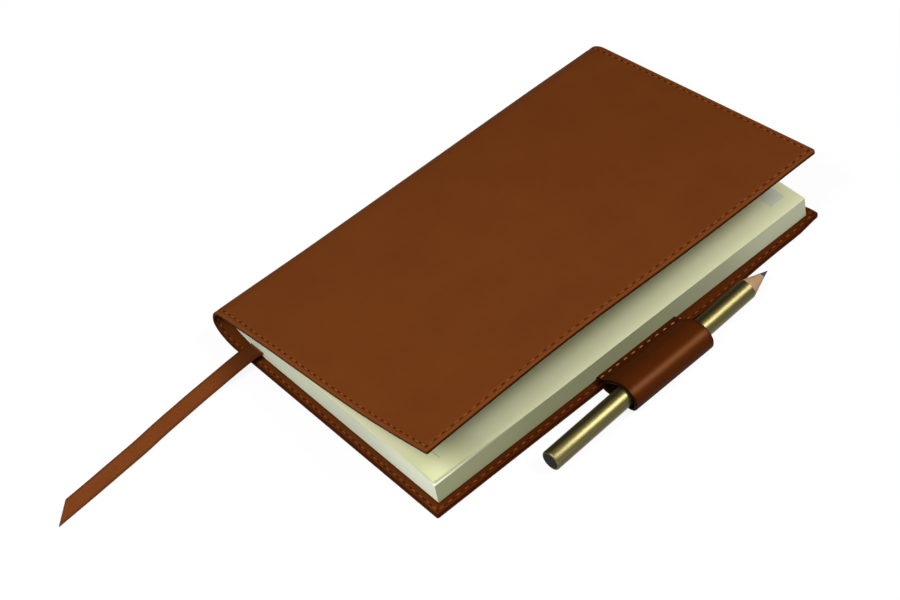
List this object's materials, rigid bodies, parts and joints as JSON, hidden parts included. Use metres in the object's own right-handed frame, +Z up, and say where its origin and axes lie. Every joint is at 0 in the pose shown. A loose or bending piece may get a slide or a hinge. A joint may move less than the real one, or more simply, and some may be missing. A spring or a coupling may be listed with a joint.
{
  "type": "golf score notebook",
  "caption": "Pocket notebook in a stitched leather cover standing ajar, with turning sections, a marker strip and a pencil that slides out of a loop on the fore-edge.",
  "frame": {"origin": "middle of the back panel's flat underside, on the table", "axes": "+X from the spine to the fore-edge, +Y from the tail to the head, +Z up out of the back panel"},
  "size_m": [0.1094, 0.2241, 0.0287],
  "materials": {
    "brown_leather": "smooth dyed calf, low sheen",
    "dark_leather": "thin dyed leather, matt",
    "lining_cloth": "plain brown lining cloth",
    "greyboard": "unprinted greyboard",
    "card": "plain buff card",
    "paper": "uncoated cream paper",
    "thread": "waxed orange-brown thread",
    "gold_lacquer": "gold metallic lacquer on wood",
    "graphite": "dark graphite core"
  },
  "bodies": {
    "back_cover": {"back_leather": "brown_leather", "back_board": "greyboard", "back_lining": "lining_cloth", "back_card": "card", "back_pocket": "dark_leather", "back_thread": "thread", "pencil_loop": "brown_leather", "section_6": "paper", "section_5": "paper", "marker_inside": "dark_leather", "marker_tail": "dark_leather"},
    "spine": {"spine_leather": "brown_leather", "spine_lining": "dark_leather", "spine_thread_tail": "thread", "spine_thread_head": "thread"},
    "front_cover": {"front_leather": "brown_leather", "front_board": "greyboard", "front_lining": "lining_cloth", "front_card": "card", "front_pocket": "dark_leather", "front_thread": "thread"},
    "first_leaf": {"score_leaf": "paper"},
    "leaves_1": {"section_1": "paper"},
    "leaves_2": {"section_2": "paper"},
    "leaves_3": {"section_3": "paper"},
    "leaves_4": {"section_4": "paper"},
    "pencil": {"pencil_barrel": "gold_lacquer", "pencil_lead": "graphite"}
  },
  "joints": [
    {"name": "spine_fold", "type": "hinge", "parent": "back_cover", "child": "spine", "pos_m": [-0.05134, 0, 0.0024], "axis": [0, -1, 0], "range_deg": [0, 85]},
    {"name": "front_cover_fold", "type": "hinge", "parent": "spine", "child": "front_cover", "pos_m": [-0.04467, 0, 0.01517], "axis": [0, -1, 0], "range_deg": [-8.5, 92]},
    {"name": "first_leaf_turn", "type": "hinge", "parent": "back_cover", "child": "first_leaf", "pos_m": [-0.0475, 0, 0.00492], "axis": [0, -1, 0], "range_deg": [0, 85]},
    {"name": "leaves_1_turn", "type": "hinge", "parent": "back_cover", "child": "leaves_1", "pos_m": [-0.0475, 0, 0.00492], "axis": [0, -1, 0], "range_deg": [0, 77]},
    {"name": "leaves_2_turn", "type": "hinge", "parent": "back_cover", "child": "leaves_2", "pos_m": [-0.0475, 0, 0.00492], "axis": [0, -1, 0], "range_deg": [0, 64]},
    {"name": "leaves_3_turn", "type": "hinge", "parent": "back_cover", "child": "leaves_3", "pos_m": [-0.0475, 0, 0.00492], "axis": [0, -1, 0], "range_deg": [0, 47]},
    {"name": "leaves_4_turn", "type": "hinge", "parent": "back_cover", "child": "leaves_4", "pos_m": [-0.0475, 0, 0.00492], "axis": [0, -1, 0], "range_deg": [0, 26]},
    {"name": "pencil_slide", "type": "slide", "parent": "back_cover", "child": "pencil", "axis": [-0.041, 0.9992, 0], "range_m": [-0.065, 0.062]}
  ],
  "couplings": [
    {"joint": "first_leaf_turn", "follows": "spine_fold", "ratio": 1},
    {"joint": "leaves_1_turn", "follows": "spine_fold", "ratio": 0.9},
    {"joint": "leaves_2_turn", "follows": "spine_fold", "ratio": 0.75},
    {"joint": "leaves_3_turn", "follows": "spine_fold", "ratio": 0.55},
    {"joint": "leaves_4_turn", "follows": "spine_fold", "ratio": 0.3}
  ]
}
